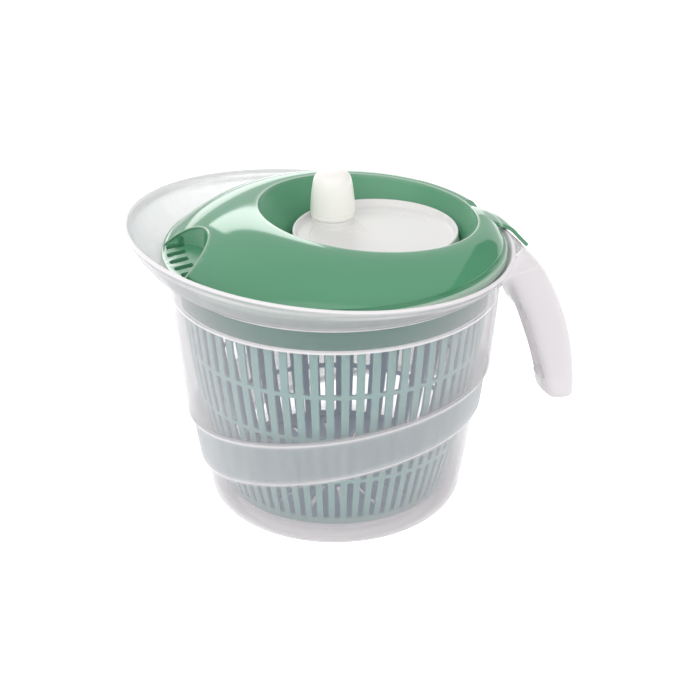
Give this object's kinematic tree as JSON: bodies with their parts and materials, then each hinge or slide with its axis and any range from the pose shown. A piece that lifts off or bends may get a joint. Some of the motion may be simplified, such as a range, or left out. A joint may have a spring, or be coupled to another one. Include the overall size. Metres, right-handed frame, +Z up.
{
  "type": "salad spinner",
  "caption": "Crank salad spinner: pouring bowl with hanging handle, slatted basket geared to an offset turntable in a domed lid with a strainer pocket.",
  "frame": {"origin": "centre of the bowl's flat base, where the object stands", "axes": "+X towards the hanging handle, -X towards the pouring spout, +Z up"},
  "size_m": [0.3116, 0.2556, 0.223],
  "materials": {
    "clear_bowl": "frosted clear moulded polypropylene",
    "green_basket": "satin moulded plastic",
    "green_lid": "glossy moulded plastic",
    "white_dish": "glossy moulded plastic",
    "ivory_knob": "satin moulded plastic",
    "bearing_plastic": "plain moulded acetal",
    "steel": "plain turned steel"
  },
  "bodies": {
    "bowl": {"outer_bowl": "clear_bowl"},
    "lid": {"lid_shell": "green_lid", "glide_ring": "bearing_plastic", "gear_cover": "white_dish", "drive_bushing": "bearing_plastic", "gear_cover_screw_1": "steel", "gear_cover_screw_2": "steel", "gear_cover_screw_3": "steel", "gear_cover_screw_4": "steel"},
    "crank": {"turntable": "white_dish", "ring_gear": "bearing_plastic", "axle_washer": "steel", "axle_screw": "steel", "knob_screw": "steel"},
    "knob": {"crank_knob": "ivory_knob"},
    "drive": {"pinion_gear": "bearing_plastic", "drive_plate": "green_basket", "drive_washer": "steel", "drive_screw": "steel"},
    "basket": {"basket": "green_basket"}
  },
  "joints": [
    {"name": "lid_lift", "type": "slide", "parent": "bowl", "child": "lid", "axis": [0, 0, 1], "range_m": [0, 0.08]},
    {"name": "crank_spin", "type": "hinge", "parent": "lid", "child": "crank", "pos_m": [0.028, 0, 0.184], "axis": [0, 0, 1], "continuous": true},
    {"name": "knob_spin", "type": "hinge", "parent": "crank", "child": "knob", "pos_m": [0.00813, 0.0318, 0.2], "axis": [0, 0, 1], "continuous": true},
    {"name": "drive_spin", "type": "hinge", "parent": "lid", "child": "drive", "pos_m": [0, 0, 0.165], "axis": [0, 0, 1], "continuous": true},
    {"name": "basket_spin", "type": "hinge", "parent": "bowl", "child": "basket", "pos_m": [0, 0, 0.019], "axis": [0, 0, 1], "continuous": true}
  ],
  "couplings": [
    {"joint": "drive_spin", "follows": "crank_spin", "ratio": 3},
    {"joint": "basket_spin", "follows": "crank_spin", "ratio": 3}
  ]
}
